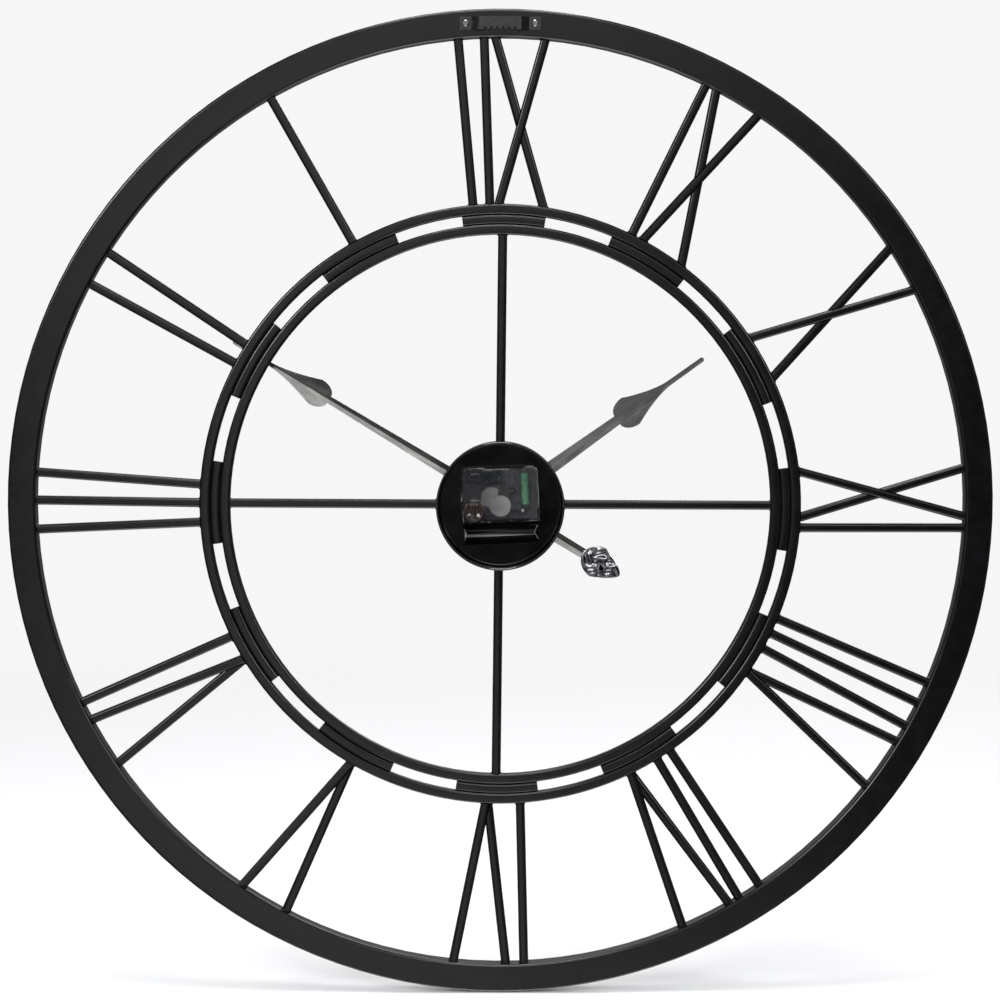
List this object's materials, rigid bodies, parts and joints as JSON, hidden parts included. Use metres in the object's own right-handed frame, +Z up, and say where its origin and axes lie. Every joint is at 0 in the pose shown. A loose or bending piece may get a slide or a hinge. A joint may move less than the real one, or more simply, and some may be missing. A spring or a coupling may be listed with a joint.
{
  "type": "wall clock",
  "caption": "Large open-frame metal wall clock with roman numerals made of bars, a hub cup with a battery movement, spade hands and a sawtooth hanger.",
  "frame": {"origin": "centre of the rim on the plane of its rear face, which is the wall side", "axes": "+Z up, the dial faces -Y, the wall is on the +Y side, +X is to the right as the dial is read"},
  "size_m": [0.7109, 0.042, 0.711],
  "materials": {
    "satin_black_steel": "satin black powder coat",
    "gloss_black_steel": "gloss black paint",
    "hand_steel": "bare brushed sheet steel",
    "counterweight_chrome": "bright chrome",
    "brass_fittings": "turned brass",
    "black_case_plastic": "moulded gloss black",
    "smoked_plastic": "smoked clear plastic",
    "brown_knob_plastic": "dark brown translucent plastic",
    "grey_gear_plastic": "dark grey acetal",
    "white_gear_plastic": "natural acetal",
    "grey_plate_plastic": "moulded dark grey",
    "gasket_rubber": "matte black rubber",
    "green_enamel_wire": "green enamelled winding",
    "core_steel": "soft iron sheet",
    "green_board": "green lacquered board",
    "black_epoxy": "black epoxy drop",
    "nickel": "nickel plate",
    "ferrite": "sintered magnet"
  },
  "bodies": {
    "frame": {"outer_rim": "satin_black_steel", "chapter_ring_outer": "satin_black_steel", "chapter_ring_inner": "satin_black_steel", "hour_blocks": "satin_black_steel", "numeral_1": "satin_black_steel", "numeral_2": "satin_black_steel", "numeral_3": "satin_black_steel", "numeral_4": "satin_black_steel", "numeral_5": "satin_black_steel", "numeral_6": "satin_black_steel", "numeral_7": "satin_black_steel", "numeral_8": "satin_black_steel", "numeral_9": "satin_black_steel", "numeral_10": "satin_black_steel", "numeral_11": "satin_black_steel", "numeral_12": "satin_black_steel", "spoke_top": "satin_black_steel", "spoke_right": "satin_black_steel", "spoke_bottom": "satin_black_steel", "spoke_left": "satin_black_steel", "movement_cup": "gloss_black_steel", "sawtooth_hanger": "satin_black_steel", "hanger_screws": "satin_black_steel", "movement_base": "black_case_plastic", "middle_plate": "grey_plate_plastic", "rear_cover": "smoked_plastic", "threaded_bushing": "brass_fittings", "rubber_gasket": "gasket_rubber", "washer": "brass_fittings", "hex_nut": "brass_fittings", "coil_bobbin": "grey_plate_plastic", "coil_winding": "green_enamel_wire", "coil_core": "core_steel", "stator": "core_steel", "circuit_board": "green_board", "circuit_chip": "black_epoxy", "quartz_crystal": "nickel", "contact_positive": "nickel", "contact_negative": "nickel"},
    "minute": {"minute_hand": "hand_steel", "minute_counterweight": "counterweight_chrome", "minute_arbor": "brass_fittings", "centre_wheel": "white_gear_plastic", "hand_cap_nut": "brass_fittings"},
    "hour": {"hour_hand": "hand_steel", "hour_wheel": "white_gear_plastic"},
    "motion_work": {"motion_wheel": "white_gear_plastic"},
    "setting": {"setting_knob": "brown_knob_plastic", "setting_stem": "brown_knob_plastic"},
    "third": {"third_wheel": "white_gear_plastic"},
    "second": {"second_wheel": "white_gear_plastic"},
    "intermediate": {"intermediate_wheel": "grey_gear_plastic"},
    "rotor": {"rotor_magnet": "ferrite", "rotor_pinion": "grey_gear_plastic"}
  },
  "joints": [
    {"name": "minute_spin", "type": "hinge", "parent": "frame", "child": "minute", "pos_m": [0, -0.012, 0], "axis": [0, 1, 0], "continuous": true},
    {"name": "hour_spin", "type": "hinge", "parent": "frame", "child": "hour", "pos_m": [0, -0.012, 0], "axis": [0, 1, 0], "continuous": true},
    {"name": "motion_spin", "type": "hinge", "parent": "frame", "child": "motion_work", "pos_m": [0.009, -0.012, 0.00004], "axis": [0, 1, 0], "continuous": true},
    {"name": "setting_spin", "type": "hinge", "parent": "frame", "child": "setting", "pos_m": [0.01905, -0.012, -0.0039], "axis": [0, 1, 0], "continuous": true},
    {"name": "third_spin", "type": "hinge", "parent": "frame", "child": "third", "pos_m": [0.00639, -0.012, 0.00581], "axis": [0, 1, 0], "continuous": true},
    {"name": "second_spin", "type": "hinge", "parent": "frame", "child": "second", "pos_m": [0, -0.012, 0], "axis": [0, 1, 0], "continuous": true},
    {"name": "intermediate_spin", "type": "hinge", "parent": "frame", "child": "intermediate", "pos_m": [-0.00279, -0.012, 0.00839], "axis": [0, 1, 0], "continuous": true},
    {"name": "rotor_spin", "type": "hinge", "parent": "frame", "child": "rotor", "pos_m": [-0.0083, -0.012, 0.01078], "axis": [0, 1, 0], "continuous": true}
  ],
  "couplings": [
    {"joint": "hour_spin", "follows": "minute_spin", "ratio": 0.083333},
    {"joint": "motion_spin", "follows": "minute_spin", "ratio": -0.33333},
    {"joint": "setting_spin", "follows": "minute_spin", "ratio": 0.55556},
    {"joint": "third_spin", "follows": "minute_spin", "ratio": -8},
    {"joint": "second_spin", "follows": "minute_spin", "ratio": 60},
    {"joint": "intermediate_spin", "follows": "minute_spin", "ratio": -450},
    {"joint": "rotor_spin", "follows": "minute_spin", "ratio": 1800}
  ]
}
